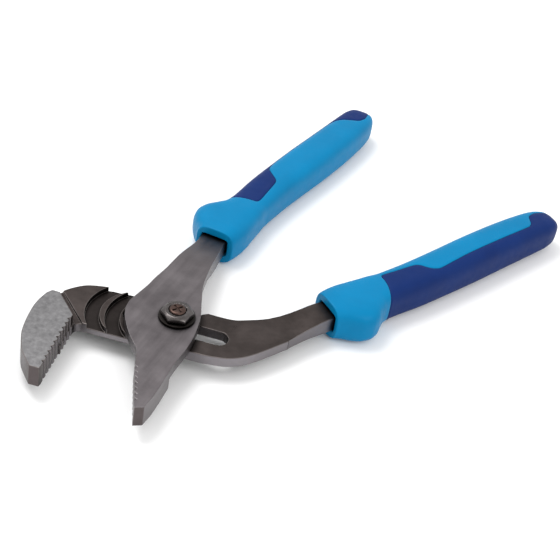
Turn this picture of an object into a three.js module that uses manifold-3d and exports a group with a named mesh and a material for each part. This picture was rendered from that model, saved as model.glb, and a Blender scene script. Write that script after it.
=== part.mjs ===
// Tongue and groove pliers lying flat, jaws open. Millimetres, +Z up.
// The origin is on the pivot axis at the table. The halves are drawn in plan and stacked in two layers:
// the grooved half below, the tongue half above, with the pivot bolt through the slot of the lower one.
import * as THREE from "three";
import { mergeVertices } from "three/addons/utils/BufferGeometryUtils.js";
import Module from "manifold-3d";

const wasm = await Module();
wasm.setup();

const RAD = Math.PI / 180;

// Pose of the two halves in plan
const SLOT_TURN = -7.55 * RAD; // the slot's direction
const JAW_TURN = 9.68 * RAD; // the tongue half's tooth line, from the y direction

// Heights above the table
const HEAD_TOP = 6.9;
const NECK_BOTTOM = 7.2;
const NECK_TOP = 12.7;
const PLATE_BOTTOM = 13;
const JAW_TOP = 18.6;
const WASHER_BOTTOM = 18.9;
const WASHER_TOP = 19.9;
const NUT_BOTTOM = 20.2;
const NUT_TOP = 23.3;
const BOLT_TOP = 24;
const GRIP_MID = 10.3; // both handles meet this height inside their grips

// Pivot and adjustment
const PITCH = 10; // from one groove to the next
const SETTINGS = 5;
const SHOULDER_R = 4.6; // the bolt in the slot
const SHOULDER_TOP = 12.9;
const SHANK_R = 4; // the bolt in the tongue half, the washer and the nut
const HOLE_R = 4.1;
const STAKE = { r: 3, edge: 0.7, crown: 0.15 }; // the bolt's rounded end
const SLOT_HALF_WIDTH = 4.9;
const SLOT_HALF_LENGTH = 21.1; // to the centre of each round end
const HEAD_R = 8.5;
const HEAD_CHAMFER = 1.2;
const WASHER_R = 8.8;
const NUT_FLATS = 14;
const NUT_CHAMFER = 1.3;
const NUT_DOME = 2; // how far the chamfer comes in from the corners
const NUT_CLEAR = 0.2; // the turning envelope stands clear of the corners below the chamfer
const NUT_TURN = 6 * RAD;

// Grooves: each lies between two circles, the outer one centred where the pivot stands in that setting
const GROOVE_FLOOR = 10.2;
const GROOVE_OUTER = 24;
const GROOVE_INNER = { shift: 0.9, r: 17.9 };
const GROOVE_REACH = 16.6; // past both edges of the neck

// Tongue: an arc rib about the pivot, clear of the neck when the jaws stand open
const TONGUE_INNER = 18.5;
const TONGUE_OUTER = 23.6;
const TONGUE_FROM = 225 * RAD;
const TONGUE_TO = 240 * RAD;
const TONGUE_BOTTOM = 10.6;

// Teeth
const TOOTH_PITCH = 3.5;
const TOOTH_DEPTH = 1.5;
const TOOTH_CLEAR = 0.4; // how far a tooth cut runs past the tooth line

const ARC_STEPS = 12; // points in a quarter turn of a cut arc
const ROUND_STEPS = 8.4; // points in a quarter turn of a rounded corner
const CURVE_STEPS = 3; // points drawn for each point given of a smooth curve

const STEEL_DARK = { color: 0x4d4644, roughness: 0.42, metalness: 0.85 };
const STEEL_SATIN = { color: 0x77757a, roughness: 0.36, metalness: 0.85 };
const STEEL_NUT = { color: 0x8a8888, roughness: 0.3, metalness: 0.9 };
const STEEL_BLACK = { color: 0x262322, roughness: 0.5, metalness: 0.7 };
const STEEL_BROWN = { color: 0x5c4c48, roughness: 0.45, metalness: 0.8 };
const BLUE_LIGHT = { color: 0x0a8fd0, roughness: 0.42, metalness: 0 };
const BLUE_DARK = { color: 0x182f72, roughness: 0.55, metalness: 0 };

// ---- solids --------------------------------------------------------------

function solid(geometry) {
  const plain = geometry.clone();
  plain.deleteAttribute("normal");
  plain.deleteAttribute("uv");
  const merged = mergeVertices(plain, 1e-4);
  return new wasm.Manifold(
    new wasm.Mesh({
      numProp: 3,
      vertProperties: new Float32Array(merged.attributes.position.array),
      triVerts: new Uint32Array(merged.index.array),
    }),
  );
}

function geometryOf(manifold) {
  const mesh = manifold.getMesh();
  const geometry = new THREE.BufferGeometry();
  geometry.setAttribute("position", new THREE.BufferAttribute(new Float32Array(mesh.vertProperties), 3));
  geometry.setIndex(new THREE.BufferAttribute(new Uint32Array(mesh.triVerts), 1));
  const flat = geometry.toNonIndexed();
  flat.computeVertexNormals();
  return flat;
}

// A closed outline. Each corner is [x, y] or [x, y, radius], and { curve: [...] } is a smooth run of points.
function outline(parts) {
  const corners = [];
  for (const part of parts) {
    if (part.curve) {
      const points = part.curve.map(([x, y]) => new THREE.Vector2(x, y));
      const spline = new THREE.SplineCurve(points);
      for (const p of spline.getPoints(points.length * CURVE_STEPS)) corners.push([p.x, p.y]);
    } else {
      corners.push(part);
    }
  }
  const points = [];
  corners.forEach((corner, i) => {
    const before = corners[(i + corners.length - 1) % corners.length];
    const after = corners[(i + 1) % corners.length];
    for (const p of rounded(before, corner, after)) points.push(p);
  });
  return new THREE.Shape(points);
}

function rounded(before, corner, after) {
  const at = new THREE.Vector2(corner[0], corner[1]);
  if (!corner[2]) return [at];
  const back = new THREE.Vector2(before[0], before[1]).sub(at).normalize();
  const ahead = new THREE.Vector2(after[0], after[1]).sub(at).normalize();
  const half = Math.acos(THREE.MathUtils.clamp(back.dot(ahead), -1, 1)) / 2;
  const middle = back.clone().add(ahead).normalize();
  const centre = at.clone().addScaledVector(middle, corner[2] / Math.sin(half));
  const start = at.clone().addScaledVector(back, corner[2] / Math.tan(half)).sub(centre);
  const finish = at.clone().addScaledVector(ahead, corner[2] / Math.tan(half)).sub(centre);
  const sweep = Math.atan2(start.cross(finish), start.dot(finish));
  const steps = Math.max(3, Math.ceil((Math.abs(sweep) / (Math.PI / 2)) * ROUND_STEPS));
  const points = [];
  for (let i = 0; i <= steps; i++) {
    points.push(start.clone().rotateAround(new THREE.Vector2(), (sweep * i) / steps).add(centre));
  }
  return points;
}

function slab(shape, bottom, top) {
  const geometry = new THREE.ExtrudeGeometry(shape, {
    depth: top - bottom,
    bevelEnabled: false,
    curveSegments: ARC_STEPS,
  });
  geometry.translate(0, 0, bottom);
  return solid(geometry);
}

function lathe(profile, segments) {
  const geometry = new THREE.LatheGeometry(
    profile.map(([r, z]) => new THREE.Vector2(r, z)),
    segments,
  );
  geometry.rotateX(Math.PI / 2);
  return geometry;
}

// A closed skin over rings of points, each ring running the same way round.
function skin(rings) {
  const positions = [];
  const index = [];
  const n = rings[0].length;
  for (const ring of rings) for (const p of ring) positions.push(...p);
  for (let i = 0; i + 1 < rings.length; i++) {
    for (let j = 0; j < n; j++) {
      const a = i * n + j;
      const b = i * n + ((j + 1) % n);
      index.push(a, a + n, b, b, a + n, b + n);
    }
  }
  for (const [ring, flip] of [[0, false], [rings.length - 1, true]]) {
    const centre = new THREE.Vector3();
    for (const p of rings[ring]) centre.add(new THREE.Vector3(...p).divideScalar(n));
    const hub = positions.length / 3;
    positions.push(centre.x, centre.y, centre.z);
    for (let j = 0; j < n; j++) {
      const a = ring * n + j;
      const b = ring * n + ((j + 1) % n);
      if (flip) index.push(b, a, hub);
      else index.push(a, b, hub);
    }
  }
  const geometry = new THREE.BufferGeometry();
  geometry.setAttribute("position", new THREE.Float32BufferAttribute(positions, 3));
  geometry.setIndex(index);
  return solid(geometry);
}

// A bar of rectangular section along x. Each station is [x, y low, y high, z low, z high].
function bar(stations) {
  return skin(
    stations.map(([x, y0, y1, z0, z1]) => [
      [x, y1, z0],
      [x, y0, z0],
      [x, y0, z1],
      [x, y1, z1],
    ]),
  );
}

// The same solid turned and moved in plan, and mirrored across x first when asked.
function placed(manifold, { x, y, turn, mirrored }) {
  const geometry = geometryOf(manifold);
  if (mirrored) {
    const position = geometry.attributes.position;
    for (let i = 0; i < position.count; i++) position.setY(i, -position.getY(i));
    for (let i = 0; i < position.count; i += 3) swapVertices(position, i + 1, i + 2);
  }
  geometry.rotateZ(turn);
  geometry.translate(x, y, 0);
  return solid(geometry);
}

function swapVertices(position, a, b) {
  const first = [position.getX(a), position.getY(a), position.getZ(a)];
  position.setXYZ(a, position.getX(b), position.getY(b), position.getZ(b));
  position.setXYZ(b, ...first);
}

// V-shaped cuts along a tooth line, from a point in a direction, opening to one side of it.
function toothCuts(from, direction, count, side) {
  const along = new THREE.Vector2(Math.cos(direction), Math.sin(direction));
  const out = new THREE.Vector2(-along.y, along.x).multiplyScalar(side);
  const half = TOOTH_PITCH / 2;
  const cuts = [];
  for (let i = 0; i < count; i++) {
    const root = new THREE.Vector2(...from).addScaledVector(along, TOOTH_PITCH * i);
    const tip = root.clone().addScaledVector(out, TOOTH_DEPTH);
    const shape = new THREE.Shape([
      root,
      tip.clone().addScaledVector(along, -half * side).addScaledVector(out, TOOTH_CLEAR),
      tip.clone().addScaledVector(along, half * side).addScaledVector(out, TOOTH_CLEAR),
    ]);
    cuts.push(slab(shape, NECK_BOTTOM - 1, JAW_TOP + 1));
  }
  return cuts;
}

// ---- grips ---------------------------------------------------------------
// Grip frame: x from the collar's front face to the tip, y towards the other handle.

const GRIP_A = { x: 66, y: 39.1, turn: 43.9 * RAD, mirrored: false };
const GRIP_B = { x: 18.8, y: 69.6, turn: 63.2 * RAD, mirrored: true };

const GRIP_ROUNDNESS = 3.3; // exponent of the section's superellipse
const GRIP_SEGMENTS = 36;

// [x, centre y, half width, half height]
const GRIP_STATIONS = [
  [0, 1.2, 9.7, 9.2],
  [0.9, 1.2, 10.5, 9.7],
  [4, 0.7, 12.2, 9.9],
  [8, -0.3, 14.2, 10.1],
  [12, -1.1, 15.6, 10.1],
  [16, -1.3, 16, 10.1],
  [20, -0.7, 15.4, 10.1],
  [25, 1.3, 13.3, 10],
  [30, 3.2, 11.5, 9.8],
  [38, 4.2, 10.6, 9.5],
  [55, 6.2, 10.9, 9.6],
  [77, 9.9, 11.2, 9.8],
  [97, 13.6, 11.5, 9.9],
  [118, 17.4, 11.3, 9.8],
  [138, 20.5, 10.7, 9.5],
  [150, 21.9, 10, 8.9],
  [156.5, 22.2, 8.4, 7.9],
  [160.4, 22.3, 6, 5.9],
  [162.4, 22.3, 3.2, 3.3],
];

// Steel inside a grip: [x, y low, y high]
const TANG_STATIONS = [
  [0, -5.7, 7.3],
  [12, -4.9, 7],
  [30, -1, 8.6],
  [60, 2.6, 12.4],
  [130, 15, 24.4],
];
const TANG_HALF_HEIGHT = 4.2;
const TANG_GAP = 0.3;
const TANG_LEAD = 6; // the cavity runs this far out through the mouth
const TANG_ROOT = 0.5; // the tang starts this far outside the grip
const MOUTH_GAP = 0.9;
const MOUTH_DEPTH = 2.5;

function gripBody() {
  const rings = GRIP_STATIONS.map(([x, centre, width, height]) => {
    const ring = [];
    for (let i = 0; i < GRIP_SEGMENTS; i++) {
      const angle = (-2 * Math.PI * i) / GRIP_SEGMENTS;
      const power = 2 / GRIP_ROUNDNESS;
      const y = Math.sign(Math.cos(angle)) * Math.abs(Math.cos(angle)) ** power;
      const z = Math.sign(Math.sin(angle)) * Math.abs(Math.sin(angle)) ** power;
      ring.push([x, centre + width * y, GRIP_MID + height * z]);
    }
    return ring;
  });
  return skin(rings);
}

function tang(gap, lead) {
  const low = GRIP_MID - TANG_HALF_HEIGHT - gap;
  const high = GRIP_MID + TANG_HALF_HEIGHT + gap;
  const stations = TANG_STATIONS.map(([x, y0, y1]) => [x, y0 - gap, y1 + gap, low, high]);
  const first = stations[0];
  const last = stations[stations.length - 1];
  last[0] += gap;
  const slope = (TANG_STATIONS[1][1] - TANG_STATIONS[0][1]) / TANG_STATIONS[1][0];
  stations.unshift([-lead, first[1] - slope * lead, first[2] - slope * lead, low, high]);
  return bar(stations);
}

function mouth() {
  const [, y0, y1] = TANG_STATIONS[0];
  const low = GRIP_MID - TANG_HALF_HEIGHT - MOUTH_GAP;
  const high = GRIP_MID + TANG_HALF_HEIGHT + MOUTH_GAP;
  return bar([
    [-TANG_LEAD, y0 - MOUTH_GAP, y1 + MOUTH_GAP, low, high],
    [MOUTH_DEPTH, y0 - MOUTH_GAP, y1 + MOUTH_GAP, low, high],
  ]);
}

// Plan of the dark cover: the outer side, a pad over the front and the end of the tip.
function coverRegion(gap) {
  const shape = outline([
    [31 - gap, -32],
    [31 - gap, -12],
    [35.2 - gap, 0],
    [36.6 - gap, 8.5 + gap, 2],
    [52, 9.3 + gap],
    [59.5 + gap, 9.6 + gap, 2],
    [63.5 + gap, 4.6 + gap],
    [68.8, 2.5 + gap, 3],
    [90, 8.2 + gap],
    [140.6 - gap, 17 + gap, 2],
    [145.4 - gap, 25 + gap, 2.5],
    [152, 26.8 + gap],
    [170, 24 + gap],
    [170, -32],
  ]);
  return slab(shape, -2, 26);
}

function gripPieces(frame) {
  const body = gripBody().subtract(tang(TANG_GAP, TANG_LEAD)).subtract(mouth());
  return {
    sleeve: placed(body.subtract(coverRegion(TANG_GAP)), frame),
    cover: placed(body.intersect(coverRegion(0)), frame),
  };
}

// ---- grooved half --------------------------------------------------------
// Plan frame: x along the slot towards the handle, the pivot at the origin.

const HANDLE_A = 43.9 * RAD;
const HANDLE_B = 63.2 * RAD;

// Handle between its flat plate and its grip: [along, across low, across high, z low, z high]
const BAR_A = [
  [45.7, -28.4, -10.8, NECK_BOTTOM, NECK_TOP],
  [51, -27.2, -11.1, 7.1, 12.9],
  [57, -25.9, -11.1, 6.9, 13.3],
  [63, -24.8, -10.9, 6.5, 13.9],
  [67, -24.2, -10.6, 6.2, 14.3],
  [71, -23.7, -10.4, 6.1, 14.5],
  [76, -23.3, -10.3, 6.1, 14.5],
];
const BAR_B = [
  [39.5, 2.2, 20.9, PLATE_BOTTOM, JAW_TOP],
  [43, 2.9, 20.8, 11.6, 18.5],
  [48, 3.8, 20.6, 9.6, 17.9],
  [53, 4.7, 20.4, 8.3, 16.9],
  [58, 5.6, 20.2, 7.2, 15.8],
  [62, 6.3, 20.2, 6.5, 15.1],
  [66, 6.9, 20.2, 6.1, 14.6],
  [72, 7.3, 20.3, 6.1, 14.5],
];

function grooveCut(index) {
  const x = PITCH * (index - (SETTINGS - 1) / 2);
  const outer = Math.asin(GROOVE_REACH / GROOVE_OUTER);
  const inner = Math.asin(GROOVE_REACH / GROOVE_INNER.r);
  const shape = new THREE.Shape();
  shape.absarc(x, 0, GROOVE_OUTER, Math.PI - outer, Math.PI + outer, false);
  shape.absarc(x + GROOVE_INNER.shift, 0, GROOVE_INNER.r, Math.PI + inner, Math.PI - inner, true);
  return slab(shape, GROOVE_FLOOR, NECK_TOP + 1);
}

function slotCut() {
  const shape = new THREE.Shape();
  shape.absarc(SLOT_HALF_LENGTH, 0, SLOT_HALF_WIDTH, -Math.PI / 2, Math.PI / 2, false);
  shape.absarc(-SLOT_HALF_LENGTH, 0, SLOT_HALF_WIDTH, Math.PI / 2, Math.PI * 1.5, false);
  return slab(shape, NECK_BOTTOM - 1, NECK_TOP + 1);
}

// Shallow channel at the foot of the jaw's step
function channelCut() {
  const shape = outline([
    [-61.8, 3.4],
    [-37.4, -24.3],
    [-35.4, -21.5],
    [-59.9, 6.2],
  ]);
  return slab(shape, NECK_TOP - 0.8, NECK_TOP + 1);
}

function groovedForging() {
  const neck = outline([
    [-55.5, -33.8],
    [-44.9, -33.8],
    [-44.6, -14.9, 3.5],
    [-15, -14.6],
    { curve: [[18, -14.2], [26.6, -12.8], [31.1, -11.1], [35.5, -8.5], [39.5, -4.9], [44, 0.2], [53, 11.3]] },
    { curve: [[40.6, 24.2], [36.1, 21.3], [30, 18.2], [24.5, 15.9], [17, 15.3]] },
    [-20, 15.8],
    { curve: [[-36, 15.8], [-46.4, 13.3], [-51.9, 10.1], [-57, 4.7], [-60.1, -1], [-61.9, -9.1]] },
    [-62.9, -20.3],
  ]);
  let half = slab(neck, NECK_BOTTOM, NECK_TOP).subtract(channelCut()).subtract(slotCut());
  for (let i = 0; i < SETTINGS; i++) half = half.subtract(grooveCut(i));
  const jaw = outline([
    [-45, -17.6],
    [-56.5, -4.5],
    [-60.4, -4.4, 1.5],
    { curve: [[-62.2, -7.4], [-63.8, -14.1], [-64.2, -20.8], [-63.7, -29.3], [-62.3, -37.8], [-59.5, -45.3]] },
    { curve: [[-57.9, -48.6], [-55.3, -52.1], [-50.8, -57.6]] },
    [-46, -57.6],
    [-45.6, -55.8],
    [-45.1, -19.8],
  ]);
  half = half.add(slab(jaw, NECK_BOTTOM, JAW_TOP));
  for (const cut of toothCuts([-46.3, -20.9], -90.65 * RAD, 10, 1)) half = half.subtract(cut);
  half = half.add(placed(bar(BAR_A), { x: 0, y: 0, turn: HANDLE_A }));
  return half.add(placed(tang(0, TANG_ROOT), GRIP_A));
}

// ---- tongue half ---------------------------------------------------------
// Plan frame: y along the tooth line, the pivot at the origin.

function tongueRib() {
  const shape = new THREE.Shape();
  shape.absarc(0, 0, TONGUE_OUTER, TONGUE_FROM, TONGUE_TO, false);
  shape.absarc(0, 0, TONGUE_INNER, TONGUE_TO, TONGUE_FROM, true);
  return slab(shape, TONGUE_BOTTOM, PLATE_BOTTOM + 1);
}

function pivotHole() {
  return solid(lathe([[0, 11], [HOLE_R, 11], [HOLE_R, 20], [0, 20]], 48));
}

function tongueForging() {
  const plate = outline([
    [-18.6, -62.4],
    [-14.2, -61.8, 1],
    { curve: [[-10.6, -55.6], [-6.9, -47.2], [-2.4, -36], [0.9, -28.9], [4.4, -22], [6.8, -16.4]] },
    { curve: [[8.8, -10.6], [10.2, -4.8], [11.4, 1.6], [12, 12.4], [12.7, 23.2], [14.1, 30.4]] },
    [15.9, 36.6],
    [-0.6, 45.1],
    { curve: [[-5.2, 36.9], [-10.6, 28.6], [-13.9, 22.8], [-18.6, 15.8], [-22.3, 10.3], [-24.2, 4.8]] },
    { curve: [[-24.5, -0.2], [-23.6, -7.2], [-21.5, -15.5], [-18.8, -22.8], [-18.4, -26.7]] },
    [-19, -35],
  ]);
  const jawRegion = outline([
    [-30, -70],
    [0, -70],
    [0, -43.2],
    [-8, -25.4, 3],
    [-30, -25.4],
  ]);
  const jaw = slab(plate, NECK_BOTTOM, JAW_TOP).intersect(slab(jawRegion, NECK_BOTTOM - 1, JAW_TOP + 1));
  let half = slab(plate, PLATE_BOTTOM, JAW_TOP).add(jaw).add(tongueRib());
  half = half.subtract(pivotHole());
  for (const cut of toothCuts([-17.6, -36.2], -89.6 * RAD, 7, -1)) half = half.subtract(cut);
  half = half.add(placed(bar(BAR_B), { x: 0, y: 0, turn: HANDLE_B }));
  return half.add(placed(tang(0, TANG_ROOT), GRIP_B));
}

// ---- pivot ---------------------------------------------------------------

function boltGeometry() {
  const foot = HEAD_R - HEAD_CHAMFER;
  return lathe(
    [
      [0, 0],
      [foot, 0],
      [HEAD_R, HEAD_CHAMFER],
      [HEAD_R, HEAD_TOP],
      [SHOULDER_R, HEAD_TOP],
      [SHOULDER_R, SHOULDER_TOP],
      [SHANK_R, SHOULDER_TOP],
      [SHANK_R, BOLT_TOP - STAKE.edge],
      [STAKE.r, BOLT_TOP - STAKE.crown],
      [0, BOLT_TOP],
    ],
    48,
  );
}

function washerGeometry() {
  return lathe(
    [
      [HOLE_R, WASHER_BOTTOM],
      [WASHER_R, WASHER_BOTTOM],
      [WASHER_R, WASHER_TOP],
      [HOLE_R, WASHER_TOP],
      [HOLE_R, WASHER_BOTTOM],
    ],
    48,
  );
}

function nutGeometry() {
  const corner = NUT_FLATS / 2 / Math.cos(Math.PI / 6);
  const corners = [];
  for (let i = 0; i < 6; i++) {
    const angle = NUT_TURN + (i * Math.PI) / 3;
    corners.push(new THREE.Vector2(corner * Math.cos(angle), corner * Math.sin(angle)));
  }
  const blank = slab(new THREE.Shape(corners), NUT_BOTTOM, NUT_TOP);
  const envelope = lathe(
    [
      [0, NUT_BOTTOM - 1],
      [corner + NUT_CLEAR, NUT_BOTTOM - 1],
      [corner + NUT_CLEAR, NUT_TOP - NUT_CHAMFER],
      [corner - NUT_DOME, NUT_TOP],
      [0, NUT_TOP],
    ],
    48,
  );
  const bore = lathe(
    [
      [0, NUT_BOTTOM - 2],
      [HOLE_R, NUT_BOTTOM - 2],
      [HOLE_R, NUT_TOP + 1],
      [0, NUT_TOP + 1],
    ],
    48,
  );
  return geometryOf(blank.intersect(solid(envelope)).subtract(solid(bore)));
}

// ---- assembly ------------------------------------------------------------

function piece(name, geometry, look) {
  const mesh = new THREE.Mesh(geometry, new THREE.MeshStandardMaterial(look));
  mesh.name = name;
  return mesh;
}

const gripA = gripPieces(GRIP_A);
const gripB = gripPieces(GRIP_B);

const groovedHalf = new THREE.Group();
groovedHalf.rotation.z = SLOT_TURN;
groovedHalf.add(piece("grooved_forging", geometryOf(groovedForging()), STEEL_DARK));
groovedHalf.add(piece("lower_grip_sleeve", geometryOf(gripA.sleeve), BLUE_LIGHT));
groovedHalf.add(piece("lower_grip_cover", geometryOf(gripA.cover), BLUE_DARK));

const tongueHalf = new THREE.Group();
tongueHalf.rotation.z = JAW_TURN;
tongueHalf.add(piece("tongue_forging", geometryOf(tongueForging()), STEEL_SATIN));
tongueHalf.add(piece("upper_grip_sleeve", geometryOf(gripB.sleeve), BLUE_LIGHT));
tongueHalf.add(piece("upper_grip_cover", geometryOf(gripB.cover), BLUE_DARK));

const pivot = new THREE.Group();
pivot.add(piece("pivot_bolt", boltGeometry(), STEEL_BROWN));
pivot.add(piece("pivot_washer", washerGeometry(), STEEL_BLACK));
pivot.add(piece("pivot_nut", nutGeometry(), STEEL_NUT));

const pliers = new THREE.Group();
pliers.add(groovedHalf, tongueHalf, pivot);

export default pliers;
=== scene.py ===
# Tongue and groove pliers lying on a pale table: two steel halves, a staked pivot and two-colour grips.
# Drawn in millimetres in plan frames that turn with each half, then scaled to metres.
import math

import bmesh
import bpy
import numpy as np
from mathutils import Matrix, Vector


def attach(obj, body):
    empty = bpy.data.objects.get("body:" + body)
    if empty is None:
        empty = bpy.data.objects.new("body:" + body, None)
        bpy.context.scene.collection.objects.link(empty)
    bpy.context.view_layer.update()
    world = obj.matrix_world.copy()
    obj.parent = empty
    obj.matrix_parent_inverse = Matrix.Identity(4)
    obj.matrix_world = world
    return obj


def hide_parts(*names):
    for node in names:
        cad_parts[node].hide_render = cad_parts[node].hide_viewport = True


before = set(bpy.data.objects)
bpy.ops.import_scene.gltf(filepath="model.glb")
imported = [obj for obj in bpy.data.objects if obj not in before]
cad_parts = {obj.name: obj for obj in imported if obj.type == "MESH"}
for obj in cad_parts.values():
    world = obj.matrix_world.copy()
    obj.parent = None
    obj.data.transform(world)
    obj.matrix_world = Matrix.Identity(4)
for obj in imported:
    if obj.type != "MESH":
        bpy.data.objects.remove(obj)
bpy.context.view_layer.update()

MM = 0.001
SLOT_TURN = math.radians(-7.55)  # plan direction of the grooved half
JAW_TURN = math.radians(9.68)  # plan direction of the tongue half

# ---- small tools -------------------------------------------------------------


def srgb(red, green, blue):
    """A colour from 0-255 screen values to the linear values that shaders use."""
    channels = []
    for value in (red, green, blue):
        value /= 255
        channels.append(value / 12.92 if value <= 0.04045 else ((value + 0.055) / 1.055) ** 2.4)
    return (*channels, 1)


def mesh_object(name, vertices, faces):
    mesh = bpy.data.meshes.new(name)
    mesh.from_pydata([tuple(v) for v in vertices], [], faces)
    mesh.validate()
    obj = bpy.data.objects.new(name, mesh)
    bpy.context.scene.collection.objects.link(obj)
    return obj


def apply_modifiers(obj):
    bpy.context.view_layer.update()
    depsgraph = bpy.context.evaluated_depsgraph_get()
    mesh = bpy.data.meshes.new_from_object(obj.evaluated_get(depsgraph))
    obj.modifiers.clear()
    obj.data = mesh


def combine(obj, cutter, operation):
    """Boolean of obj with a cutter, which is used up."""
    modifier = obj.modifiers.new("cut", "BOOLEAN")
    modifier.object = cutter
    modifier.operation = operation
    modifier.solver = "EXACT"
    apply_modifiers(obj)
    bpy.data.objects.remove(cutter)


def prism(name, points, low, high):
    """An upright prism over a closed plan outline that runs anticlockwise."""
    n = len(points)
    vertices = [(x, y, low) for x, y in points] + [(x, y, high) for x, y in points]
    faces = [list(range(n))[::-1], list(range(n, 2 * n))]
    faces += [(i, (i + 1) % n, (i + 1) % n + n, i + n) for i in range(n)]
    return mesh_object(name, vertices, faces)


def lathe(name, profile, segments=96):
    """A turned body about z from [radius, height] points; a radius of 0 closes an end."""
    vertices, rings, faces = [], [], []
    for radius, height in profile:
        if radius == 0:
            rings.append([len(vertices)])
            vertices.append((0, 0, height))
            continue
        rings.append(list(range(len(vertices), len(vertices) + segments)))
        for i in range(segments):
            angle = 2 * math.pi * i / segments
            vertices.append((radius * math.cos(angle), radius * math.sin(angle), height))
    pairs = list(zip(rings, rings[1:]))
    if len(rings[0]) > 1:
        pairs.append((rings[-1], rings[0]))
    for a, b in pairs:
        for i in range(segments):
            j = (i + 1) % segments
            if len(a) == 1:
                faces.append((a[0], b[j], b[i]))
            elif len(b) == 1:
                faces.append((a[i], a[j], b[0]))
            else:
                faces.append((a[i], a[j], b[j], b[i]))
    return mesh_object(name, vertices, faces)


def loft(name, rings):
    """A closed skin over rings of the same count, capped at both ends."""
    n = len(rings[0])
    vertices = [p for ring in rings for p in ring]
    faces = []
    for i in range(len(rings) - 1):
        for j in range(n):
            k = (j + 1) % n
            faces.append((i * n + j, i * n + k, (i + 1) * n + k, (i + 1) * n + j))
    faces.append(list(range(n))[::-1])
    faces.append(list(range((len(rings) - 1) * n, len(rings) * n)))
    return mesh_object(name, vertices, faces)


def shade(obj, angle):
    """Outward normals, smooth shading, and sharp edges where faces meet at more than angle."""
    mesh = obj.data
    bm = bmesh.new()
    bm.from_mesh(mesh)
    bmesh.ops.recalc_face_normals(bm, faces=bm.faces)
    bm.to_mesh(mesh)
    bm.free()
    mesh.shade_smooth()
    mesh.set_sharp_from_angle(angle=math.radians(angle))


def soften(obj, width, angle=30, segments=2, slot=-1):
    """Rounds every edge sharper than angle; the new faces may take a material slot of their own."""
    modifier = obj.modifiers.new("edges", "BEVEL")
    modifier.width = width
    modifier.segments = segments
    modifier.limit_method = "ANGLE"
    modifier.angle_limit = math.radians(angle)
    modifier.use_clamp_overlap = False
    modifier.material = slot
    apply_modifiers(obj)


def place(obj, matrix):
    """Moves the vertices by a matrix in millimetres, then to metres."""
    obj.data.transform(Matrix.Scale(MM, 4) @ matrix)
    if matrix.determinant() < 0:
        obj.data.flip_normals()


def turn(angle):
    return Matrix.Rotation(angle, 4, "Z")


def smooth_line(points, steps):
    """Catmull-Rom curve through the points, ends included."""
    p = np.array(points, float)
    p = np.vstack([2 * p[0] - p[1], p, 2 * p[-1] - p[-2]])
    out = []
    for i in range(1, len(p) - 2):
        for k in range(steps):
            t = k / steps
            out.append(0.5 * (2 * p[i] + (p[i + 1] - p[i - 1]) * t
                              + (2 * p[i - 1] - 5 * p[i] + 4 * p[i + 1] - p[i + 2]) * t * t
                              + (3 * p[i] - p[i - 1] - 3 * p[i + 1] + p[i + 2]) * t ** 3))
    out.append(p[-2])
    return np.array(out)


# ---- materials -----------------------------------------------------------------


class Nodes:
    """A Principled material whose nodes are added by name."""

    def __init__(self, name):
        self.material = bpy.data.materials.new(name)
        self.material.use_nodes = True
        self.tree = self.material.node_tree
        self.shader = self.tree.nodes["Principled BSDF"]
        source = self.add("ShaderNodeTexCoord")
        self.coordinates = source.outputs["Object"]
        self.normals = source.outputs["Normal"]

    def add(self, kind, **settings):
        node = self.tree.nodes.new(kind)
        for key, value in settings.items():
            setattr(node, key, value)
        return node

    def put(self, value, socket):
        if isinstance(value, bpy.types.NodeSocket):
            self.tree.links.new(value, socket)
        else:
            socket.default_value = value

    def noise(self, scale, detail=4, roughness=0.6, stretch=None, angle=0):
        """Noise by object position in metres, stretched along a plan direction if asked."""
        vector = self.coordinates
        if stretch:
            mapping = self.add("ShaderNodeMapping")
            mapping.inputs["Rotation"].default_value = (0, 0, -angle)
            self.put(vector, mapping.inputs["Vector"])
            squeeze = self.add("ShaderNodeVectorMath", operation="MULTIPLY")
            self.put(mapping.outputs["Vector"], squeeze.inputs[0])
            squeeze.inputs[1].default_value = stretch
            vector = squeeze.outputs["Vector"]
        node = self.add("ShaderNodeTexNoise")
        self.put(vector, node.inputs["Vector"])
        node.inputs["Scale"].default_value = scale
        node.inputs["Detail"].default_value = detail
        node.inputs["Roughness"].default_value = roughness
        return node.outputs["Fac"]

    def ramp(self, factor, low, high, start, end):
        node = self.add("ShaderNodeMapRange")
        self.put(factor, node.inputs["Value"])
        for key, value in (("From Min", low), ("From Max", high), ("To Min", start), ("To Max", end)):
            node.inputs[key].default_value = value
        return node.outputs["Result"]

    def mix(self, factor, a, b, blend="MIX"):
        node = self.add("ShaderNodeMix", data_type="RGBA", blend_type=blend)
        self.put(factor, node.inputs["Factor"])
        self.put(a, node.inputs["A"])
        self.put(b, node.inputs["B"])
        return node.outputs["Result"]

    def math(self, operation, a, b):
        node = self.add("ShaderNodeMath", operation=operation)
        self.put(a, node.inputs[0])
        self.put(b, node.inputs[1])
        return node.outputs[0]

    def bump(self, heights, distance, strength=1.0, normal=None):
        node = self.add("ShaderNodeBump")
        self.put(heights, node.inputs["Height"])
        node.inputs["Distance"].default_value = distance
        node.inputs["Strength"].default_value = strength
        if normal:
            self.put(normal, node.inputs["Normal"])
        return node.outputs["Normal"]

    def grey(self, value):
        """A grey colour from a single value."""
        node = self.add("ShaderNodeCombineColor")
        for channel in ("Red", "Green", "Blue"):
            self.put(value, node.inputs[channel])
        return node.outputs["Color"]

    def split(self, vector):
        """The X, Y and Z of a vector."""
        node = self.add("ShaderNodeSeparateXYZ")
        self.put(vector, node.inputs[0])
        return node.outputs

    def openness(self, reach, **settings):
        """Ambient occlusion: 1 in the open and less in a corner, within reach in mm."""
        node = self.add("ShaderNodeAmbientOcclusion", samples=8, **settings)
        node.inputs["Distance"].default_value = reach * MM
        return node.outputs["AO"]


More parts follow.
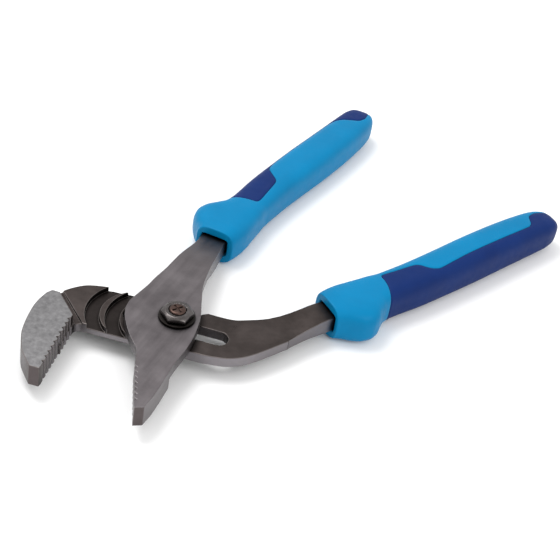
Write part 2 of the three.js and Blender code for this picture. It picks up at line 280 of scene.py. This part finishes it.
GROOVE_FLOOR, GROOVE_SHADE_TOP = 10.5, 12.4  # painted shade in the grooves: below the second height the steel is darkened, to half at the first
JAW_END, BAR_START = -48, -44  # places in y between which the painted tone of the front-facing walls changes, from the jaw end's painted shade to the walls' painted reflection


def steel(name, dark, light, rough, grain_angle=None, polish=None, side=None):
    """Forged or ground steel. polish = (z in mm, dark, light): a brighter colour above that height,
    and darker steel low down in the grooves, a painted shade.
    side = (tone, tone of the jaw's end face) for the walls that face the front: painted light, a lighter
    tone for the pale floor's reflection and a painted shade on the jaw's end face."""
    m = Nodes(name)
    m.shader.inputs["Metallic"].default_value = 1
    blotch = m.noise(55, 5, 0.62)
    colour = m.mix(m.ramp(blotch, 0.35, 0.68, 0, 1), dark, light)
    speck = m.noise(1400, 3, 0.7)
    if grain_angle is None:
        grain = m.noise(420, 6, 0.72)
    else:
        grain = m.noise(260, 5, 0.7, stretch=(0.06, 1, 1), angle=grain_angle)
    if polish:
        z, bright_dark, bright_light = polish
        bright = m.mix(m.ramp(grain, 0.35, 0.65, 0, 1), bright_dark, bright_light)
        top = m.ramp(m.split(m.coordinates)["Z"], (z - 0.5) * MM, (z - 0.1) * MM, 0, 1)
        colour = m.mix(top, colour, bright)
        # painted shade: everything of this steel below the top height is darkened, standing in for the
        # shade that falls in the grooves
        low = m.ramp(m.split(m.coordinates)["Z"], GROOVE_FLOOR * MM, GROOVE_SHADE_TOP * MM, 0.5, 1)
        colour = m.mix(1.0, colour, m.grey(low), "MULTIPLY")
    if side:
        # painted reflection: walls that face the front are lightened as if they mirrored the pale floor,
        # less where the steel is closed in, as on the slot's walls; towards the jaw's end the tone turns
        # into a painted shade
        wall, jaw_end_shade = side
        facing = m.ramp(m.split(m.normals)["Y"], -0.35, -0.8, 0, 1)
        front = m.math("MULTIPLY", facing, m.ramp(m.openness(16, only_local=True), 0.7, 0.9, 0.08, 1))
        along = m.ramp(m.split(m.coordinates)["Y"], JAW_END * MM, BAR_START * MM, 0, 1)
        colour = m.mix(front, colour, m.mix(along, jaw_end_shade, wall))
    # painted shade: the colour is darkened where the steel is closed in within 5 mm, in corners and
    # grooves; the grain below adds its own real tone
    contact_shade = m.ramp(m.openness(5), 0.4, 0.9, 0.15, 1)
    grain_and_shade = m.math("MULTIPLY", m.ramp(grain, 0.3, 0.7, 0.9, 1.08), contact_shade)
    m.put(m.mix(1.0, colour, m.grey(grain_and_shade), "MULTIPLY"), m.shader.inputs["Base Color"])
    wear = m.ramp(m.math("ADD", blotch, grain), 0.7, 1.3, rough - 0.07, rough + 0.1)
    m.put(wear, m.shader.inputs["Roughness"])
    fine = m.bump(speck, 0.00003, 0.35)
    m.put(m.bump(grain, 0.00006, 0.5, fine), m.shader.inputs["Normal"])
    return m.material


def rubber(name, deep, pale, rough, specular, grain):
    """Moulded grip plastic: faint cloudiness, a fine satin texture and small dents."""
    m = Nodes(name)
    cloud = m.noise(45, 4, 0.55)
    fine = m.noise(2600, 2, 0.5)
    dents = m.noise(260, 3, 0.5)
    m.put(m.mix(m.ramp(cloud, 0.3, 0.7, 0, 1), deep, pale), m.shader.inputs["Base Color"])
    satin = m.ramp(m.math("ADD", cloud, dents), 0.7, 1.3, rough - 0.06, rough + 0.08)
    m.put(satin, m.shader.inputs["Roughness"])
    m.shader.inputs["Specular IOR Level"].default_value = specular
    soft = m.bump(dents, 0.00012, 0.35)
    m.put(m.bump(fine, 0.00004, grain, soft), m.shader.inputs["Normal"])
    return m.material


# painted light: the first tone is a painted shade on the jaw's end face; the lighter side tones below
# stand in for the pale floor's reflection on the walls that face the front
JAW_END_SHADE = srgb(86, 79, 79)
GROOVED_STEEL = steel(
    "grooved_steel", srgb(58, 52, 50), srgb(74, 67, 65), 0.4,
    polish=(18.6, srgb(112, 111, 112), srgb(126, 125, 126)), side=(srgb(128, 124, 127), JAW_END_SHADE),
)
DARK_EDGE = steel("dark_edge_steel", srgb(84, 78, 76), srgb(110, 104, 102), 0.34)
TONGUE_STEEL = steel(
    "tongue_steel", srgb(99, 94, 96), srgb(112, 107, 109), 0.36,
    grain_angle=math.radians(72), side=(srgb(118, 114, 116), JAW_END_SHADE),
)
EDGE_STEEL = steel("worn_edge_steel", srgb(104, 100, 101), srgb(124, 120, 121), 0.3)
NUT_STEEL = steel("nut_steel", srgb(84, 80, 79), srgb(108, 104, 104), 0.3)
# bright steel painted as the highlight on the nut's rounded edges and chamfer
NUT_HIGHLIGHT = steel("nut_highlight_steel", srgb(140, 138, 138), srgb(172, 170, 170), 0.26)
BOLT_STEEL = steel("bolt_steel", srgb(74, 58, 53), srgb(100, 84, 78), 0.38)
WASHER_STEEL = steel("washer_steel", srgb(30, 27, 26), srgb(48, 45, 43), 0.45)
SLEEVE_BLUE = rubber("sleeve_blue", srgb(0, 112, 158), srgb(0, 120, 168), 0.42, 0.09, 0.25)
COVER_BLUE = rubber("cover_blue", srgb(3, 33, 88), srgb(8, 40, 98), 0.52, 0.13, 0.5)

# ---- grips ---------------------------------------------------------------------
# Grip frame: x from the collar's front face to the tip, y towards the other handle.

GRIP_MID = 10.3
ROUNDNESS = 3.3
GRIP_SEGMENTS = 128
GRIP_STEP = 0.7
TIP_START, TIP_STEPS = 156, 16
COLLAR_LIP = [0.06, 0.12, 0.2, 0.3, 0.4, 0.6]  # extra stations round the collar's front edge
# Stations along the grip: x, middle in y, half width, half height
GRIP_STATIONS = [
    (0, 1.2, 9.9, 9.2),
    (0.12, 1.2, 10.2, 9.42),
    (0.4, 1.2, 10.42, 9.6),
    (0.9, 1.2, 10.65, 9.72),
    (4, 0.7, 12.2, 9.9),
    (8, -0.3, 14.2, 10.1),
    (12, -1.1, 15.6, 10.1),
    (16, -1.3, 16, 10.1),
    (20, -0.7, 15.4, 10.1),
    (25, 1.3, 13.3, 10),
    (30, 3.2, 11.5, 9.8),
    (38, 4.2, 10.6, 9.5),
    (55, 6.2, 10.9, 9.6),
    (77, 9.9, 11.2, 9.8),
    (97, 13.6, 11.5, 9.9),
    (118, 17.4, 11.3, 9.8),
    (138, 20.5, 10.7, 9.5),
    (150, 21.9, 10, 8.9),
    (156.5, 22.2, 8.4, 7.9),
    (160.2, 22.3, 6.1, 6),
    (161.9, 22.3, 3.9, 4),
]
LAST_STATION = GRIP_STATIONS[-1][0]
TIP_END = (162.4, 22.3, 1.4, 1.5)
MOUTH_LOW, MOUTH_HIGH, MOUTH_HALF_HEIGHT = -6.6, 8.2, 5.1
MOUTH_DEPTH = 9
GAP = 0.09
LIP_RADIUS = 0.75
LIP_SHARE = 0.75  # how much of a full quarter round the lip takes
OUTER_SKIN = 0.97  # share of the section's reach beyond which a point is on the skin
EDGE_STEPS = 8


def section(x, centre, width, height, power=ROUNDNESS):
    ring = []
    for i in range(GRIP_SEGMENTS):
        angle = 2 * math.pi * i / GRIP_SEGMENTS
        c, s = math.cos(angle), math.sin(angle)
        y = math.copysign(abs(c) ** (2 / power), c)
        z = math.copysign(abs(s) ** (2 / power), s)
        ring.append((x, centre + width * y, GRIP_MID + height * z))
    return ring


def spline(xs, ys, at):
    """Cubic through points with slopes limited so that it doesn't overshoot."""
    xs, ys = np.array(xs, float), np.array(ys, float)
    slope = np.diff(ys) / np.diff(xs)
    tangent = np.zeros(len(xs))
    tangent[0], tangent[-1] = slope[0], slope[-1]
    for i in range(1, len(xs) - 1):
        a, b = slope[i - 1], slope[i]
        tangent[i] = 0 if a * b <= 0 else 2 * a * b / (a + b)
    i = np.clip(np.searchsorted(xs, at) - 1, 0, len(xs) - 2)
    h = xs[i + 1] - xs[i]
    t = (at - xs[i]) / h
    return ((2 * t ** 3 - 3 * t ** 2 + 1) * ys[i] + (t ** 3 - 2 * t ** 2 + t) * h * tangent[i]
            + (3 * t ** 2 - 2 * t ** 3) * ys[i + 1] + (t ** 3 - t ** 2) * h * tangent[i + 1])


def grip_shape(at):
    """Middle in y, half width and half height of the grip at each x."""
    stations = np.array(GRIP_STATIONS)
    return [spline(stations[:, 0], stations[:, k], at) for k in (1, 2, 3)]


def grip_body(name):
    """The whole grip as one skin: from the floor of the mouth, round its lip, to the tip."""
    shaft = np.arange(0, TIP_START, GRIP_STEP)
    tip = np.linspace(TIP_START, LAST_STATION, TIP_STEPS)
    at = np.unique(np.concatenate([shaft, tip, COLLAR_LIP]))
    centre = (MOUTH_LOW + MOUTH_HIGH) / 2
    half = (MOUTH_HIGH - MOUTH_LOW) / 2
    rings = [
        section(MOUTH_DEPTH, centre, half, MOUTH_HALF_HEIGHT, 9),
        section(0.9, centre, half, MOUTH_HALF_HEIGHT, 9),
        section(0.35, centre, half + 0.12, MOUTH_HALF_HEIGHT + 0.12, 8),
        section(0.08, centre, half + 0.4, MOUTH_HALF_HEIGHT + 0.4, 7),
        section(0, centre, half + 0.8, MOUTH_HALF_HEIGHT + 0.8, 6),
        section(0, centre, half + 1.1, MOUTH_HALF_HEIGHT + 1.1, 5.5),
        section(0, 1.2, 9.55, 8.9),
    ]
    rings += [section(x, c, w, h) for x, c, w, h in zip(at, *grip_shape(at))]
    rings.append(section(*TIP_END))
    return loft(name, rings)


# Plan edge of the dark cover, from its outer side at the front round the pad to the tip
COVER_OUTSIDE, COVER_BEYOND = -32, 172  # the region runs past the grip in y and in x
COVER_HEIGHTS = (-4, 28)
COVER_FRONT = [
    (31.2, COVER_OUTSIDE), (31.2, -14), (32, -9.5), (33.6, -4.2), (35.2, 1.2), (35.9, 5), (36, 7.9),
    (36.8, 9.4), (39, 10), (46, 10.1), (55, 10.5), (58.6, 10.3),
]
COVER_END = [(143.2, 22.4), (144.7, 24.8), (147.5, 26.2), (153, 26.9), (COVER_BEYOND, 24)]
LOWER_EDGE = [
    *COVER_FRONT, (61, 9), (63, 6.7), (65.4, 4.8), (68, 3.9),
    (70.8, 3.9), (79, 5.8), (92, 8.8), (115, 13), (136.5, 16.6), (139.8, 17.6), (141.7, 19.4), *COVER_END,
]
UPPER_EDGE = [
    (30.4, COVER_OUTSIDE), (30.4, -14), (31.2, -9.5), (32.8, -4.2), (34.4, 1.2), (35.1, 4.6),
    (35.3, 6.9), (36.1, 8.4), (38.6, 9.2), (46, 9.4), (55, 9.6), (58.8, 9.2), (61, 7.8),
    (63.4, 5.2), (65.6, 3), (68, 1.2), (71.5, 0.5), (79, 0.9), (92, 3.2), (115, 7.5),
    (128, 10), (134.5, 12), (138.4, 15), (141.2, 18.8), *COVER_END,
]


def cover_region(name, edge, gap):
    """The plan region of the cover as a prism, shrunk or grown by a gap."""
    line = smooth_line(edge, EDGE_STEPS)
    tangent = np.gradient(line, axis=0)
    normal = np.stack([-tangent[:, 1], tangent[:, 0]], axis=1)
    normal /= np.linalg.norm(normal, axis=1)[:, None]
    line = line + normal * gap
    outline = [(COVER_BEYOND + gap, COVER_OUTSIDE), *[tuple(p) for p in line[::-1]]]
    return prism(name, outline, *COVER_HEIGHTS)


def distance_in_plan(points, line):
    """Distance in plan from each point to a line of short stretches."""
    best = np.full(len(points), 1e9)
    for a, b in zip(line[:-1], line[1:]):
        ab = b - a
        t = np.clip(((points[:, :2] - a) @ ab) / (ab @ ab), 0, 1)
        best = np.minimum(best, np.linalg.norm(points[:, :2] - (a + t[:, None] * ab), axis=1))
    return best


def round_lip(obj, edge):
    """Rolls the skin down along the edge where sleeve and cover meet."""
    co = np.array([v.co for v in obj.data.vertices])
    near = np.maximum(0, LIP_RADIUS - distance_in_plan(co, edge))
    depth = LIP_RADIUS - np.sqrt(np.maximum(0, LIP_RADIUS ** 2 - near ** 2))
    centre, width, height = grip_shape(np.clip(co[:, 0], 0, LAST_STATION))
    y, z = (co[:, 1] - centre) / width, (co[:, 2] - GRIP_MID) / height
    skin = (np.abs(y) ** ROUNDNESS + np.abs(z) ** ROUNDNESS) ** (1 / ROUNDNESS) > OUTER_SKIN
    outward = np.stack([np.zeros(len(co)),
                        np.sign(y) * np.abs(y) ** (ROUNDNESS - 1) / width,
                        np.sign(z) * np.abs(z) ** (ROUNDNESS - 1) / height], axis=1)
    outward /= np.linalg.norm(outward, axis=1)[:, None] + 1e-9
    co = co - outward * (depth * skin * LIP_SHARE)[:, None]
    for vertex, p in zip(obj.data.vertices, co):
        vertex.co = p


def grip(prefix, body, matrix, edge):
    """Sleeve and cover of one grip: the same moulding cut along the cover's edge, with a gap."""
    for kind, operation, gap, material in (
        ("sleeve", "DIFFERENCE", GAP, SLEEVE_BLUE),
        ("cover", "INTERSECT", -GAP, COVER_BLUE),
    ):
        obj = grip_body(f"{prefix}_{kind}_moulding")
        shade(obj, 40)
        combine(obj, cover_region("region", edge, gap), operation)
        round_lip(obj, smooth_line(edge, EDGE_STEPS))
        place(obj, matrix)
        shade(obj, 38)
        obj.data.materials.clear()
        obj.data.materials.append(material)
        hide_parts(f"{prefix}_{kind}")
        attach(obj, body)


def grip_frame(half_turn, start, direction):
    """From the grip frame to the plan: where the collar starts in its half's frame, and its heading."""
    return turn(half_turn) @ Matrix.Translation((*start, 0)) @ turn(math.radians(direction))


LOWER_GRIP = grip_frame(SLOT_TURN, (66, 39.1), 43.9)
UPPER_GRIP = grip_frame(JAW_TURN, (18.8, 69.6), 63.2) @ Matrix.Scale(-1, 4, (0, 1, 0))
grip("lower_grip", "grooved_half", LOWER_GRIP, LOWER_EDGE)
grip("upper_grip", "tongue_half", UPPER_GRIP, UPPER_EDGE)

# ---- forgings --------------------------------------------------------------------


SLOT_REACH = (26.3, 5.2)  # half length and half width of a box round the slot's walls
WELD = 0.05
SLIVER = 0.02


def in_slot(point):
    """True for a point on the slot's walls, in plan."""
    p = turn(-SLOT_TURN) @ point
    return abs(p.x) < SLOT_REACH[0] * MM and abs(p.y) < SLOT_REACH[1] * MM


def clean(bm, plug):
    """Merges close points and the flat faces of the CAD's triangles.
    plug closes the hole about the pivot axis up to that radius. With no plug only level faces are
    merged, and the slot's walls stay as they are."""
    bmesh.ops.remove_doubles(bm, verts=bm.verts, dist=WELD * MM)
    if plug:
        wall = [f for f in bm.faces if all(v.co.xy.length < plug * MM for v in f.verts)]
        bmesh.ops.delete(bm, geom=wall, context="FACES")
        bmesh.ops.holes_fill(bm, edges=[e for e in bm.edges if e.is_boundary], sides=0)
        corners, free = bm.verts[:], bm.edges[:]
    else:
        corners = []
        free = [e for e in bm.edges if not any(in_slot(v.co) for v in e.verts)]
        free = [e for e in free if all(abs(f.normal.z) > 0.99 for f in e.link_faces)]
    bmesh.ops.dissolve_limit(bm, angle_limit=math.radians(0.6), verts=corners, edges=free)
    bmesh.ops.dissolve_degenerate(bm, dist=SLIVER * MM, edges=bm.edges)


def forging(node, name, body, materials, width, plug=0):
    """A forging with every sharp edge eased; the eased edges take the second material.
    plug is the radius of the hole to close, where the bolt hides it."""
    obj = bpy.data.objects.new(name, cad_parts[node].data.copy())
    bpy.context.scene.collection.objects.link(obj)
    bm = bmesh.new()
    bm.from_mesh(obj.data)
    clean(bm, plug)
    bm.to_mesh(obj.data)
    bm.free()
    obj.data.materials.clear()
    for material in materials:
        obj.data.materials.append(material)
    soften(obj, width * MM, angle=28, segments=2, slot=1)
    obj.data.shade_smooth()
    obj.data.set_sharp_from_angle(angle=math.radians(32))
    weighted = obj.modifiers.new("normals", "WEIGHTED_NORMAL")
    weighted.keep_sharp = True
    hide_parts(node)
    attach(obj, body)


forging(
    "grooved_forging", "grooved_half_forging", "grooved_half",
    (GROOVED_STEEL, DARK_EDGE), 0.3,
)
forging(
    "tongue_forging", "tongue_half_forging", "tongue_half",
    (TONGUE_STEEL, EDGE_STEEL), 0.25, plug=4.3,
)

# ---- pivot -----------------------------------------------------------------------

HEAD_TOP = 6.9
SHOULDER_TOP = 12.9
WASHER = (18.9, 19.9)
NUT = (20.2, 23.3)
BOLT_TOP = 24
NUT_TURN = math.radians(6)
NUT_FLATS = 14
NUT_CORNER = NUT_FLATS / 2 / math.cos(math.pi / 6)


def pivot_piece(obj, node, materials, matrix=Matrix()):
    place(obj, matrix)
    obj.data.materials.clear()
    for material in materials:
        obj.data.materials.append(material)
    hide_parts(node)
    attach(obj, "pivot")


def nut():
    angles = [i * math.pi / 3 for i in range(6)]
    corners = [(NUT_CORNER * math.cos(a), NUT_CORNER * math.sin(a)) for a in angles]
    obj = prism("hexagon_nut", corners, *NUT)
    dome = [(0, NUT[0] - 1), (NUT_CORNER + 0.3, NUT[0] - 1), (NUT_CORNER + 0.3, NUT[1] - 1.7)]
    dome += [(NUT_CORNER - 0.2, NUT[1] - 1.35), (6.9, NUT[1] - 0.65), (5.9, NUT[1]), (0, NUT[1])]
    combine(obj, lathe("dome", dome), "INTERSECT")
    bore = [(0, NUT[0] - 2), (4.1, NUT[0] - 2), (4.1, NUT[1] - 0.45)]
    bore += [(4.7, NUT[1] + 0.3), (0, NUT[1] + 0.3)]
    combine(obj, lathe("bore", bore), "DIFFERENCE")
    obj.data.materials.append(NUT_STEEL)
    obj.data.materials.append(NUT_HIGHLIGHT)
    # painted highlight: the rounded edges and the faces that tilt up, round the chamfer, take the bright
    # steel
    soften(obj, 0.2, angle=24, segments=2, slot=1)
    for face in obj.data.polygons:
        if 0.3 < face.normal.z < 0.97:
            face.material_index = 1
    shade(obj, 35)
    return obj


def bolt():
    profile = [
        (0, 0), (6.7, 0), (7.3, 0.15), (8.2, 0.95), (8.5, 1.6), (8.5, HEAD_TOP - 0.5),
        (8.35, HEAD_TOP - 0.15), (8, HEAD_TOP), (4.6, HEAD_TOP), (4.6, SHOULDER_TOP - 0.2),
        (4.4, SHOULDER_TOP), (4, SHOULDER_TOP), (4, BOLT_TOP - 0.75), (3.9, BOLT_TOP - 0.45),
        (3.65, BOLT_TOP - 0.2), (3.2, BOLT_TOP - 0.06), (2.2, BOLT_TOP), (0, BOLT_TOP),
    ]
    obj = lathe("staked_pivot_bolt", profile)
    for k in range(2):
        angle = math.radians(40 + 90 * k)
        a = np.array([math.cos(angle), math.sin(angle)])
        b = np.array([-a[1], a[0]])
        reach, half = 2.9, 0.42
        signs = ((1, 1), (-1, 1), (-1, -1), (1, -1))
        outline = [tuple(i * reach * a + j * half * b) for i, j in signs]
        combine(obj, prism("stake", outline, BOLT_TOP - 0.55, BOLT_TOP + 1), "DIFFERENCE")
    soften(obj, 0.12, angle=35, segments=2)
    shade(obj, 35)
    return obj


def washer():
    low, high = WASHER
    profile = [
        (4.1, low + 0.15), (4.25, low), (8.55, low), (8.8, low + 0.25), (8.8, high - 0.3),
        (8.7, high - 0.08), (8.45, high), (4.3, high), (4.1, high - 0.2),
    ]
    obj = lathe("pivot_washer_ring", profile)
    shade(obj, 40)
    return obj


pivot_piece(nut(), "pivot_nut", (NUT_STEEL, NUT_HIGHLIGHT), turn(NUT_TURN))
pivot_piece(bolt(), "pivot_bolt", (BOLT_STEEL,))
pivot_piece(washer(), "pivot_washer", (WASHER_STEEL,))

# ---- floor, light and camera --------------------------------------------------------


def stage_floor():
    m = Nodes("pale_floor")
    cloud = m.noise(3, 2, 0.5)
    colour = m.mix(m.ramp(cloud, 0.3, 0.7, 0, 1), (0.9, 0.9, 0.9, 1), (0.93, 0.93, 0.93, 1))
    m.put(colour, m.shader.inputs["Base Color"])
    m.shader.inputs["Roughness"].default_value = 0.9
    m.shader.inputs["Specular IOR Level"].default_value = 0.1
    size, drop = 6, -0.0001  # just below the bolt's head, so that the two faces don't coincide
    corners = [(-size, -size, drop), (size, -size, drop), (size, size, drop), (-size, size, drop)]
    obj = mesh_object("table_floor", corners, [(0, 1, 2, 3)])
    obj.data.materials.append(m.material)


def area_light(name, at, target, size, power):
    data = bpy.data.lights.new(name, "AREA")
    data.shape = "DISK"
    data.size = size
    data.energy = power
    obj = bpy.data.objects.new(name, data)
    bpy.context.scene.collection.objects.link(obj)
    direction = Vector(target) - Vector(at)
    obj.matrix_world = Matrix.Translation(at) @ direction.to_track_quat("-Z", "Y").to_matrix().to_4x4()


def sky(strength):
    world = bpy.data.worlds.new("studio")
    bpy.context.scene.world = world
    world.use_nodes = True
    background = world.node_tree.nodes["Background"]
    background.inputs["Color"].default_value = (1, 1, 1, 1)
    background.inputs["Strength"].default_value = strength


CAMERA_AT = (44.642, -502.4, 445.4)
CAMERA_ELEVATION, CAMERA_ROLL = 38.1, 10.3


def camera():
    data = bpy.data.cameras.new("camera")
    data.lens = 90
    data.sensor_width = 36
    data.clip_start = 0.01
    obj = bpy.data.objects.new("camera", data)
    bpy.context.scene.collection.objects.link(obj)
    elevation, roll = math.radians(CAMERA_ELEVATION), math.radians(CAMERA_ROLL)
    forward = Vector((0, math.cos(elevation), -math.sin(elevation)))
    side = Vector((1, 0, 0))
    above = Vector((0, math.sin(elevation), math.cos(elevation)))
    right = side * math.cos(roll) + above * math.sin(roll)
    up = above * math.cos(roll) - side * math.sin(roll)
    axes = Matrix((right, up, -forward)).transposed().to_4x4()
    obj.matrix_world = Matrix.Translation(Vector(CAMERA_AT) * MM) @ axes
    bpy.context.scene.camera = obj


stage_floor()
sky(0.9)
MIDDLE = (0.05, 0.06, 0)
area_light("key_light", (-0.35, 0.25, 0.9), MIDDLE, 0.6, 6)
area_light("fill_light", (0.7, -0.5, 0.8), MIDDLE, 0.8, 4)
camera()
bpy.context.scene.view_settings.view_transform = "Standard"
